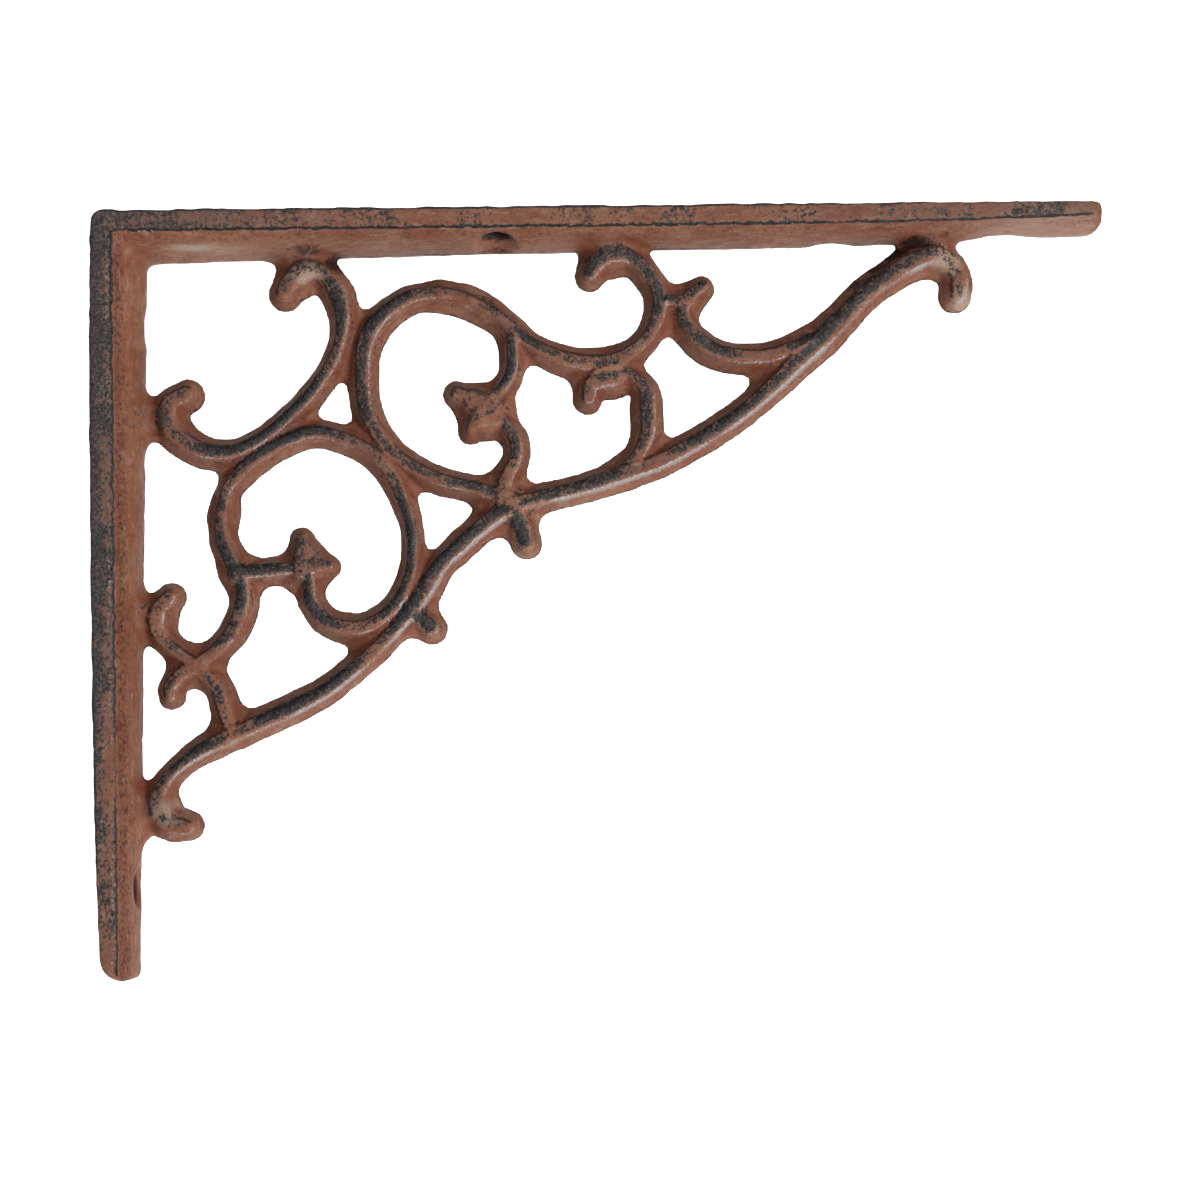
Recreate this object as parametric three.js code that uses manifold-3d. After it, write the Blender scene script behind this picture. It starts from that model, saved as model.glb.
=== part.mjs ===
// Ornate cast iron shelf bracket, one casting: a wall arm and a shelf arm that meet at a square corner,
// filled in with scrollwork and a curved brace.
//
// Frame: +X runs out from the wall under the shelf, +Z is up, and Y is across the bracket's width.
// The origin is on the wall face, in the middle of the width and halfway down the wall arm.

import * as THREE from 'three';
import Module from 'manifold-3d';

// Driving dimensions, in millimetres.

const shelfLength = 240;         // shelf arm, from the wall face to its tip
const wallLength = 178;          // wall arm, from the shelf face to its tip
const armWidth = 22;             // both arms, front to back
const cornerEdge = 5.1;          // edge thickness of the arms at the corner
const shelfTipEdge = 3.2;        // edge thickness at the shelf arm's tip
const wallTipEdge = 4.75;        // edge thickness at the wall arm's tip
const cornerRib = 6.6;           // height of the arms' rounded rib over the edge at the corner
const shelfTipRib = 2.4;         // rib height at the shelf arm's tip
const wallTipRib = 3.3;          // rib height at the wall arm's tip
const cornerBreak = 1.8;         // broken outer corner, where the two flat faces meet
const faceEdgeRound = 0.8;       // broken edge along the two flat outer faces
const tipRound = 3.2;            // rounding of the arms' tips
const barWidth = 7.2;            // scroll bars at the parting plane, where they are widest
const barDepth = 10;             // scroll bars, front to back
const ridgeWidth = 2.6;          // flat on top of a scroll bar
const rootWidth = 12;            // pads where the scrolls grow out of the arms
const rootDepth = 8;             // the same pads, front to back
const screwBore = 6.2;           // screw holes
const headWidth = 10.4;          // countersinks, on the rib side
const headDepth = 2.2;           // depth of a countersink below the face of the rib
const shelfHoleFront = 94.5;     // first shelf screw, out from the wall face
const shelfHoleRear = 176;       // second shelf screw
const shelfHoleOffset = 5.8;     // how far they sit to either side of the middle
const wallHoleLow = 157.2;       // lower wall screw, down from the shelf face
const wallHoleHigh = 26;         // upper wall screw
const wallHoleOffset = 5.8;      // how far the upper one sits behind the middle
const toolClearance = 2;         // how far the cutting shapes stand past the iron

// How late along an arm its edge or its rib changes, as a power of the share of its length. One is even.

const shelfEdgeLate = 7;
const shelfRibLate = 0.5;
const wallEdgeLate = 1;
const wallRibLate = 0.95;

// Roughness of the curves, not sizes.

const curveSteps = 2;            // steps between two points of a scroll line
const capSteps = 3;              // steps round a bar's end
const tipSteps = 3;              // steps round an arm's tip
const boreSides = 16;

// Scroll lines, from one end to the other. Each point is [out, down, stoutness]: out is in hundredths of
// the shelf arm, down is in hundredths of the wall arm, and stoutness is a share of the bar width.

const scrollLines = {
  cornerScroll: [
    [18.5, 10.2, 1.18], [19.2, 8.8, 1.26], [20.4, 7.5, 1.30], [22.1, 7.6, 1.12], [23.5, 10.2, 1.18],
    [24.15, 13.5, 1.03], [23.9, 16.7, 0.89], [22.9, 20.1, 0.91], [21.05, 23.65, 0.91], [18.85, 26.7, 0.93],
    [16.3, 29.5, 0.92], [13.4, 31.4, 1.02], [10.6, 31.3, 1.12], [8.5, 29.8, 1.21], [7.0, 27.3, 1.29],
    [7.2, 24.9, 1.13], [8.8, 23.7, 1.15],
  ],
  lowerRing: [
    [12.1, 39.5, 0.87], [12.6, 36.5, 0.90], [14.1, 34.0, 0.97], [16.0, 31.9, 0.97], [18.6, 30.0, 0.95],
    [21.4, 29.0, 0.98], [24.3, 30.1, 0.99], [26.8, 32.0, 0.99], [28.6, 34.9, 1.02], [29.65, 38.1, 0.92],
    [30.4, 41.6, 0.82], [30.5, 45.0, 0.85], [30.2, 48.2, 0.89], [29.2, 51.2, 0.92], [27.8, 53.3, 0.99],
    [25.8, 54.8, 1.04], [23.7, 54.9, 1.06], [21.8, 53.8, 1.01], [20.6, 51.4, 0.96], [20.4, 49.1, 0.92],
    [20.2, 47.1, 0.92],
  ],
  lowerTail: [
    [12.1, 39.4, 0.86], [12.0, 42.5, 0.98], [12.8, 45.5, 1.04], [13.9, 48.6, 1.00], [13.9, 51.8, 1.03],
    [13.0, 54.9, 1.03], [11.4, 57.4, 0.97], [9.6, 59.2, 1.04], [7.9, 60.5, 0.98], [6.9, 62.1, 0.96],
    [6.9, 63.3, 0.90],
  ],
  wallHook: [
    [6.9, 50.4, 1.02], [5.8, 52.2, 1.14], [5.7, 54.5, 1.10], [6.7, 56.5, 0.93], [8.2, 58.2, 0.97],
    [9.8, 59.9, 1.03], [11.35, 62.4, 1.00], [11.95, 65.0, 1.03], [12.5, 67.1, 1.04],
  ],
  crossBar: [
    [13.2, 47.6, 0.98], [15.3, 47.3, 0.98], [17.5, 47.1, 0.98], [19.6, 46.8, 0.91],
  ],
  lowerLeafTip: [
    [19.8, 47.3, 1.11], [19.8, 45.2, 1.05], [19.7, 43.1, 0.90],
  ],
  lowerLeafLobe: [
    [19.6, 47.3, 0.98], [21.2, 46.7, 0.98], [22.4, 46.7, 0.75],
  ],
  brace: [
    [8.3, 80.4, 1.02], [6.4, 79.7, 1.27], [5.5, 76.9, 1.16], [6.1, 74.8, 0.90], [7.0, 73.3, 0.84],
    [8.5, 71.6, 0.90], [10.6, 69.9, 1.06], [13.8, 68.0, 1.09], [16.5, 66.5, 1.07], [19.2, 64.9, 1.04],
    [21.9, 63.0, 0.99], [24.2, 60.7, 0.99], [26.4, 58.2, 0.99], [28.4, 55.5, 0.98], [30.1, 52.8, 1.11],
    [31.6, 50.1, 1.17], [33.15, 46.9, 1.03], [34.9, 44.7, 1.09], [36.5, 42.8, 1.08], [38.2, 41.0, 1.12],
    [40.5, 39.2, 1.12], [43.2, 38.2, 1.06], [46.2, 37.3, 1.03], [49.2, 36.2, 1.08], [52.2, 34.9, 1.10],
    [55.2, 33.5, 1.10], [58.2, 31.5, 1.07], [61.1, 29.3, 1.06], [63.9, 26.7, 1.04], [66.6, 23.6, 1.13],
    [69.2, 20.2, 1.28], [71.9, 17.0, 1.33], [74.2, 14.0, 1.22], [76.3, 11.2, 1.22], [78.4, 9.2, 1.20],
    [80.5, 7.5, 1.24], [82.9, 6.3, 1.22], [84.6, 7.4, 1.27], [85.5, 9.4, 1.22], [85.4, 11.7, 1.18],
  ],
  lowerBud: [
    [30.3, 52.9, 1.05], [32.2, 55.2, 1.08],
  ],
  upperBud: [
    [40.4, 39.3, 1.19], [41.2, 42.0, 1.13], [41.7, 44.2, 1.08],
  ],
  upperRing: [
    [38.2, 12.9, 0.78], [36.3, 11.55, 0.84], [33.8, 10.75, 0.96], [31.1, 11.1, 1.03], [29.0, 12.6, 1.05],
    [27.3, 14.7, 1.12], [26.2, 17.7, 1.15], [26.0, 21.0, 1.06], [26.1, 25.1, 1.05], [27.0, 28.6, 1.03],
    [28.5, 31.5, 1.04], [30.6, 33.8, 1.05], [33.3, 35.6, 1.00], [35.9, 36.5, 0.96], [38.2, 37.4, 1.06],
    [40.4, 38.5, 1.12],
  ],
  ringReturn: [
    [36.4, 11.6, 0.84], [38.8, 13.2, 0.84], [40.5, 15.5, 0.87], [40.7, 18.4, 0.91], [40.6, 21.1, 0.91],
    [39.7, 23.4, 0.86], [38.4, 25.2, 0.83],
  ],
  ringCurl: [
    [37.9, 25.9, 0.80], [39.65, 28.1, 0.85], [40.8, 30.4, 0.97], [40.8, 32.9, 0.97], [39.8, 35.6, 1.06],
    [39.5, 38.0, 1.12],
  ],
  upperLeafTip: [
    [38.8, 25.9, 1.06], [37.2, 25.3, 1.29], [35.2, 24.1, 0.98],
  ],
  upperLeafLobe: [
    [38.8, 26.4, 1.06], [37.6, 27.2, 1.32], [36.5, 29.0, 0.90],
  ],
  shelfScroll: [
    [33.8, 10.8, 0.88], [36.3, 11.6, 0.82], [38.75, 13.45, 0.82], [40.75, 15.7, 0.90],
    [42.8, 17.8, 0.96], [45.2, 19.4, 1.07],
    [47.8, 20.3, 1.13], [50.4, 20.3, 1.20], [52.5, 18.9, 1.01], [54.3, 16.6, 0.94], [55.3, 13.6, 1.05],
    [55.25, 10.6, 1.05], [54.2, 8.2, 1.05], [52.8, 6.4, 1.04], [50.9, 5.9, 1.14], [49.3, 6.8, 1.20],
    [48.6, 8.4, 1.02],
  ],
  budScroll: [
    [48.1, 25.0, 1.02], [48.4, 23.3, 1.12], [49.4, 22.4, 1.42], [50.8, 22.1, 1.45], [52.1, 21.8, 0.88],
    [53.8, 23.9, 1.07], [53.95, 26.6, 1.15], [53.9, 29.6, 1.09], [53.0, 32.5, 0.98], [51.4, 34.7, 0.88],
  ],
  scrollLink: [
    [56.4, 12.1, 0.87], [58.4, 12.2, 0.87],
  ],
  braceScroll: [
    [59.8, 10.2, 0.90], [58.6, 11.3, 0.95], [57.7, 13.2, 0.97], [58.0, 15.3, 1.03], [59.5, 17.8, 1.10],
    [61.5, 19.3, 1.10], [63.9, 19.8, 1.10], [66.3, 19.7, 1.08], [68.6, 18.6, 0.93], [70.3, 17.8, 0.85],
  ],
};

// Pads that join the scrolls to the arms: [out, down, stoutness] where the scroll is nearest, in the same
// hundredths, and stoutness is a share of the pads' width.

const shelfRoots = [[20.2, 7.8, 1.15], [50.8, 6.2, 0.95], [83.1, 6.6, 1]];
const wallRoots = [[7, 26.7, 1.05], [5.9, 52.8, 1], [5.7, 77.5, 1.15]];

const cast = new THREE.MeshStandardMaterial({ color: 0x6f4638, roughness: 0.62, metalness: 0.25 });

const wasm = await Module();
wasm.setup();

// Skins a row of rings, each with the same number of points, and closes both ends with a flat fan.
function loft(rings) {
  const sides = rings[0].length;
  const positions = rings.flat().flatMap((point) => point.toArray());
  const index = [];
  for (let ring = 0; ring + 1 < rings.length; ring += 1) {
    for (let side = 0; side < sides; side += 1) {
      const next = (side + 1) % sides;
      const a = ring * sides + side;
      const b = ring * sides + next;
      index.push(a, b, b + sides, a, b + sides, a + sides);
    }
  }
  const last = (rings.length - 1) * sides;
  for (let side = 1; side + 1 < sides; side += 1) {
    index.push(0, side + 1, side, last, last + side, last + side + 1);
  }
  const geometry = new THREE.BufferGeometry();
  geometry.setAttribute('position', new THREE.Float32BufferAttribute(positions, 3));
  geometry.setIndex(index);
  return geometry;
}

// Six times the volume inside a closed geometry, positive when its faces point out.
function signedVolume(geometry) {
  const position = geometry.attributes.position;
  const index = geometry.index;
  const [a, b, c] = [new THREE.Vector3(), new THREE.Vector3(), new THREE.Vector3()];
  let total = 0;
  for (let i = 0; i < index.count; i += 3) {
    a.fromBufferAttribute(position, index.getX(i));
    b.fromBufferAttribute(position, index.getX(i + 1));
    c.fromBufferAttribute(position, index.getX(i + 2));
    total += a.dot(b.cross(c));
  }
  return total;
}

function solid(geometry) {
  const triangles = Uint32Array.from(geometry.index.array);
  if (signedVolume(geometry) < 0) {
    for (let i = 0; i < triangles.length; i += 3) {
      [triangles[i], triangles[i + 1]] = [triangles[i + 1], triangles[i]];
    }
  }
  const vertices = Float32Array.from(geometry.attributes.position.array);
  return new wasm.Manifold(new wasm.Mesh({ numProp: 3, vertProperties: vertices, triVerts: triangles }));
}

// A point given by how far it is out from the wall face and down from the shelf face.
function at(out, y, down) {
  return new THREE.Vector3(out, y, wallLength / 2 - down);
}

// The arms' cross-section, from the flat outer face in: [y, depth] for an edge thickness and a rib height.
function armSection(edge, rib) {
  const half = armWidth / 2;
  const side = [[half, faceEdgeRound], [half, edge], [half * 0.68, edge + rib * 0.56],
    [half * 0.34, edge + rib * 0.89]];
  const mirrored = side.map(([y, depth]) => [-y, depth]).reverse();
  return [[half - faceEdgeRound, 0], ...side, [0, edge + rib], ...mirrored, [faceEdgeRound - half, 0]];
}

// Draws a section in towards its own middle, for the rounded tips.
function shrunk(section, by) {
  const middle = Math.max(...section.map((point) => point[1])) / 2;
  return section.map(([y, depth]) => [
    y * (1 - by / (armWidth / 2)),
    middle + (depth - middle) * Math.max(0.1, 1 - 0.6 * by / middle),
  ]);
}

// The shelf arm and the wall arm: edge and rib at a share of the way from the corner to the tip.
const shelfArm = {
  length: shelfLength,
  edge: (share) => THREE.MathUtils.lerp(cornerEdge, shelfTipEdge, share ** shelfEdgeLate),
  rib: (share) => THREE.MathUtils.lerp(cornerRib, shelfTipRib, share ** shelfRibLate),
};
const wallArm = {
  length: wallLength,
  edge: (share) => THREE.MathUtils.lerp(cornerEdge, wallTipEdge, share ** wallEdgeLate),
  rib: (share) => THREE.MathUtils.lerp(cornerRib, wallTipRib, share ** wallRibLate),
};

// Sections of one arm from the corner to its tip: the distance along it, and the section there.
function armStations({ length, edge, rib }) {
  const stations = [];
  const shares = [0.08, 0.16, 0.28, 0.42, 0.58, 0.74, 0.84, 0.92];
  const section = (share) => armSection(edge(share), rib(share));
  for (const share of shares) stations.push([length * share, section(share)]);
  for (let step = 0; step <= tipSteps; step += 1) {
    const turn = THREE.MathUtils.degToRad(85 * step / tipSteps);
    stations.push([length - tipRound + tipRound * Math.sin(turn),
      shrunk(section(1), tipRound * (1 - Math.cos(turn)))]);
  }
  return stations;
}

// Both arms as one bent bar, with a mitre at the corner.
function arms() {
  const wall = armStations(wallArm).reverse()
    .map(([along, section]) => section.map(([y, depth]) => at(depth, y, along)));
  const corner = armSection(cornerEdge, cornerRib).map(([y, depth]) => at(depth, y, depth));
  const shelf = armStations(shelfArm)
    .map(([along, section]) => section.map(([y, depth]) => at(along, y, depth)));
  return solid(loft([...wall, corner, ...shelf])).subtract(cornerTool());
}

// A square bar on its edge, which breaks the outer corner.
function cornerTool() {
  const side = cornerBreak * Math.SQRT2;
  const tool = welded(new THREE.BoxGeometry(side, armWidth + 2 * toolClearance, side));
  tool.rotateY(Math.PI / 4);
  tool.translate(0, 0, wallLength / 2);
  return solid(tool);
}

// One scroll bar along a line of {out, down, half} points, widest at the parting plane and narrowing
// to a flat ridge on each side. The ends are rounded.
function bar(line, depth, ridge) {
  const curve = new THREE.CatmullRomCurve3(line.map((p) => new THREE.Vector3(p.out, p.down, p.half)),
    false, 'catmullrom', 0.5);
  const count = (line.length - 1) * (line.length > 4 ? curveSteps : 1);
  const points = [];
  for (let i = 0; i <= count; i += 1) points.push(curve.getPoint(i / count));
  const directions = points.map((point, i) => {
    const before = points[Math.max(i - 1, 0)];
    const after = points[Math.min(i + 1, count)];
    return new THREE.Vector2(after.x - before.x, after.y - before.y).normalize();
  });

  // How much room the inside of a bend leaves, so that the bar never folds over itself.
  const room = points.map((point, i) => {
    if (i === 0 || i === count) return [Infinity, Infinity];
    const turn = directions[i - 1].x * directions[i + 1].y - directions[i - 1].y * directions[i + 1].x;
    const step = Math.hypot(points[i + 1].x - points[i - 1].x, points[i + 1].y - points[i - 1].y);
    const limit = 0.85 * step / Math.max(Math.abs(turn), 1e-6);
    return turn > 0 ? [limit, Infinity] : [Infinity, limit];
  });

  // A cross-section. The ridge can end short of the sides, as it does round a bar's end.
  const ring = (point, direction, left, right, flat, sideAhead, ridgeAhead) => {
    const [nx, nd] = [-direction.y, direction.x];
    const top = depth / 2;
    return [[left, 0, sideAhead], [flat, top, ridgeAhead], [-flat, top, ridgeAhead],
      [-right, 0, sideAhead], [-flat, -top, ridgeAhead], [flat, -top, ridgeAhead]]
      .map(([off, y, ahead]) => at(point.x + nx * off + direction.x * ahead, y,
        point.y + nd * off + direction.y * ahead));
  };
  const capTurns = Array.from({ length: capSteps }, (_, step) => 90 * (capSteps - step) / (capSteps + 0.5));
  const cap = (point, direction, sign) => capTurns.map((angle) => {
    const turn = THREE.MathUtils.degToRad(angle);
    const side = point.z * Math.cos(turn);
    return ring(point, direction, side, side, (ridge / 2) * Math.cos(turn),
      sign * point.z * Math.sin(turn), sign * (ridge / 2) * Math.sin(turn));
  });

  const rings = cap(points[0], directions[0], -1);
  points.forEach((point, i) => {
    const left = Math.min(point.z, room[i][0]);
    const right = Math.min(point.z, room[i][1]);
    const flat = Math.min(ridge / 2, 0.5 * left, 0.5 * right);
    rings.push(ring(point, directions[i], left, right, flat, 0, 0));
  });
  rings.push(...cap(points[count], directions[count], 1).reverse());
  return solid(loft(rings));
}

function scroll(line) {
  const points = line.map(([out, down, stoutness]) => ({
    out: out * shelfLength / 100, down: down * wallLength / 100, half: stoutness * barWidth / 2,
  }));
  return bar(points, barDepth, ridgeWidth);
}

// A pad between an arm and the nearest point of a scroll.
function root(fromOut, fromDown, toOut, toDown, width) {
  const ends = [[fromOut, fromDown, width / 2], [toOut, toDown, barWidth / 2]];
  return bar(ends.map(([out, down, half]) => ({ out, down, half })), rootDepth, ridgeWidth);
}

// A screw hole through an arm, with a countersink on the rib side. The tool is drawn along +Z, with the
// flat outer face of the arm at zero and the rib above it, and is then turned into place.
function screwTool(face) {
  const bore = screwBore / 2;
  const head = headWidth / 2;
  const slope = (head - bore) / headDepth;
  const tool = new THREE.LatheGeometry([
    new THREE.Vector2(0, -toolClearance),
    new THREE.Vector2(bore, -toolClearance),
    new THREE.Vector2(bore, face - headDepth),
    new THREE.Vector2(head + slope * toolClearance, face + toolClearance),
    new THREE.Vector2(0, face + toolClearance),
  ], boreSides);
  tool.rotateX(Math.PI / 2);
  return tool;
}

function welded(geometry) {
  const clean = new THREE.BufferGeometry();
  const keys = new Map();
  const positions = [];
  const position = geometry.attributes.position;
  const lookup = [];
  for (let i = 0; i < position.count; i += 1) {
    const point = new THREE.Vector3().fromBufferAttribute(position, i);
    const key = point.toArray().map((value) => Math.round(value * 1e4)).join();
    if (!keys.has(key)) {
      keys.set(key, positions.length / 3);
      positions.push(...point.toArray());
    }
    lookup.push(keys.get(key));
  }
  const index = [];
  for (let i = 0; i < geometry.index.count; i += 3) {
    const [a, b, c] = [0, 1, 2].map((corner) => lookup[geometry.index.getX(i + corner)]);
    if (a !== b && b !== c && c !== a) index.push(a, b, c);
  }
  clean.setAttribute('position', new THREE.Float32BufferAttribute(positions, 3));
  clean.setIndex(index);
  return clean;
}

// Depth of the rib's face at a place along an arm and a distance from its middle.
function ribFace(arm, along, offset) {
  const share = along / arm.length;
  return arm.edge(share) + arm.rib(share) * (1 - (2 * offset / armWidth) ** 2);
}

function shelfScrew(out, y) {
  const tool = welded(screwTool(ribFace(shelfArm, out, y)));
  tool.rotateX(Math.PI);
  tool.translate(out, y, wallLength / 2);
  return solid(tool);
}

function wallScrew(down, y) {
  const tool = welded(screwTool(ribFace(wallArm, down, y)));
  tool.rotateY(Math.PI / 2);
  tool.translate(0, y, wallLength / 2 - down);
  return solid(tool);
}

let casting = arms();
for (const line of Object.values(scrollLines)) casting = casting.add(scroll(line));
for (const [out, down, stoutness] of shelfRoots) {
  const [x, d, width] = [out * shelfLength / 100, down * wallLength / 100, stoutness * rootWidth];
  casting = casting.add(root(x, (cornerEdge + width) / 2, x, d, width));
}
for (const [out, down, stoutness] of wallRoots) {
  const [x, d, width] = [out * shelfLength / 100, down * wallLength / 100, stoutness * rootWidth];
  casting = casting.add(root((cornerEdge + width) / 2, d, x, d, width));
}
casting = casting
  .subtract(shelfScrew(shelfHoleFront, -shelfHoleOffset))
  .subtract(shelfScrew(shelfHoleRear, shelfHoleOffset))
  .subtract(wallScrew(wallHoleLow, 0))
  .subtract(wallScrew(wallHoleHigh, wallHoleOffset));

const result = casting.getMesh();
const geometry = new THREE.BufferGeometry();
geometry.setAttribute('position', new THREE.Float32BufferAttribute(result.vertProperties, 3));
geometry.setIndex(Array.from(result.triVerts));
geometry.computeVertexNormals();

const bracket = new THREE.Mesh(geometry, cast);
bracket.name = 'bracket_casting';

const part = new THREE.Group();
part.name = 'shelf_bracket';
part.add(bracket);

export default part;
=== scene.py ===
# %% [markdown]
# # An ornate shelf bracket in cast iron
#
# The real bracket is one casting. Iron was poured between two halves of a sand mould that parted down the
# middle of the bracket's width, so every wall slopes away from that middle plane, every corner is a
# little round, and where two bars run together the metal fills the corner between them. It was then
# painted rust brown, and the paint was rubbed through to the dark iron wherever the metal stands proud.
#
# This lesson works in millimetres until a mesh is made. "Out" is the distance from the wall, "down" is
# the distance below the shelf, and y is the distance behind the middle plane.

import bpy
import numpy as np
from mathutils import Matrix, Vector


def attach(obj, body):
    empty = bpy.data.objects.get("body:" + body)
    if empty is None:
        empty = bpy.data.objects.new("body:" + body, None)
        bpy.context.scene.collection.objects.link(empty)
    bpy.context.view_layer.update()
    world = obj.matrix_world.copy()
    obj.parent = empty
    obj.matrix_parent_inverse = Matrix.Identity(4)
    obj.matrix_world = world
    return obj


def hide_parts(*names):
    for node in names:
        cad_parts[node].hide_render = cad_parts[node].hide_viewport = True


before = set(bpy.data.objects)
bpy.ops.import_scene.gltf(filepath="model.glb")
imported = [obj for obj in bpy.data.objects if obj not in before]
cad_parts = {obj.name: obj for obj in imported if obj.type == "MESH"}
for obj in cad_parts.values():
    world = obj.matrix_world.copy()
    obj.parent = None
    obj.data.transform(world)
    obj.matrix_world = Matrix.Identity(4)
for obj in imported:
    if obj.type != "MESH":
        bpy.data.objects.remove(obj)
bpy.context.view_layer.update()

# %% [markdown]
# ## Sizes
# These follow the CAD source. Only the arms' thickness at the corner has a value for each arm here, within
# half a millimetre of the source's single one. The smallest decides how fine the mesh has to be: the
# ridge along a scroll is 2.6 mm wide.

# %% Sizes in millimetres
SHELF_LENGTH = 240.0
WALL_LENGTH = 178.0
ARM_WIDTH = 22.0
# Each of these four: at the corner, at the tip, and a power that says how late along the arm it changes.
SHELF_EDGE = (4.9, 3.2, 7.0)
SHELF_RIB = (6.6, 2.4, 0.5)
WALL_EDGE = (5.35, 4.75, 1.0)
WALL_RIB = (6.8, 3.3, 0.95)
BAR_WIDTH = 7.2
BAR_DEPTH = 10.0
RIDGE_WIDTH = 2.6
SCREW_BORE = 6.2
SCREW_HEAD = 10.4
HEAD_DEPTH = 2.2
SHELF_SCREWS = [(94.5, -5.8), (176.0, 5.8)]  # out, y
WALL_SCREWS = [(157.2, 0.0), (26.0, 5.8)]  # down, y
print("bracket", SHELF_LENGTH, "by", ARM_WIDTH, "by", WALL_LENGTH, "mm")

# %% [markdown]
# ## The scroll lines
# A pattern maker would draw each bar as one flowing line. Here a line is a list of points, and a smooth
# curve runs through them. Out is in hundredths of the shelf arm and down in hundredths of the wall arm,
# so the drawing keeps its proportions, and the third number says how stout the bar is there.

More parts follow.
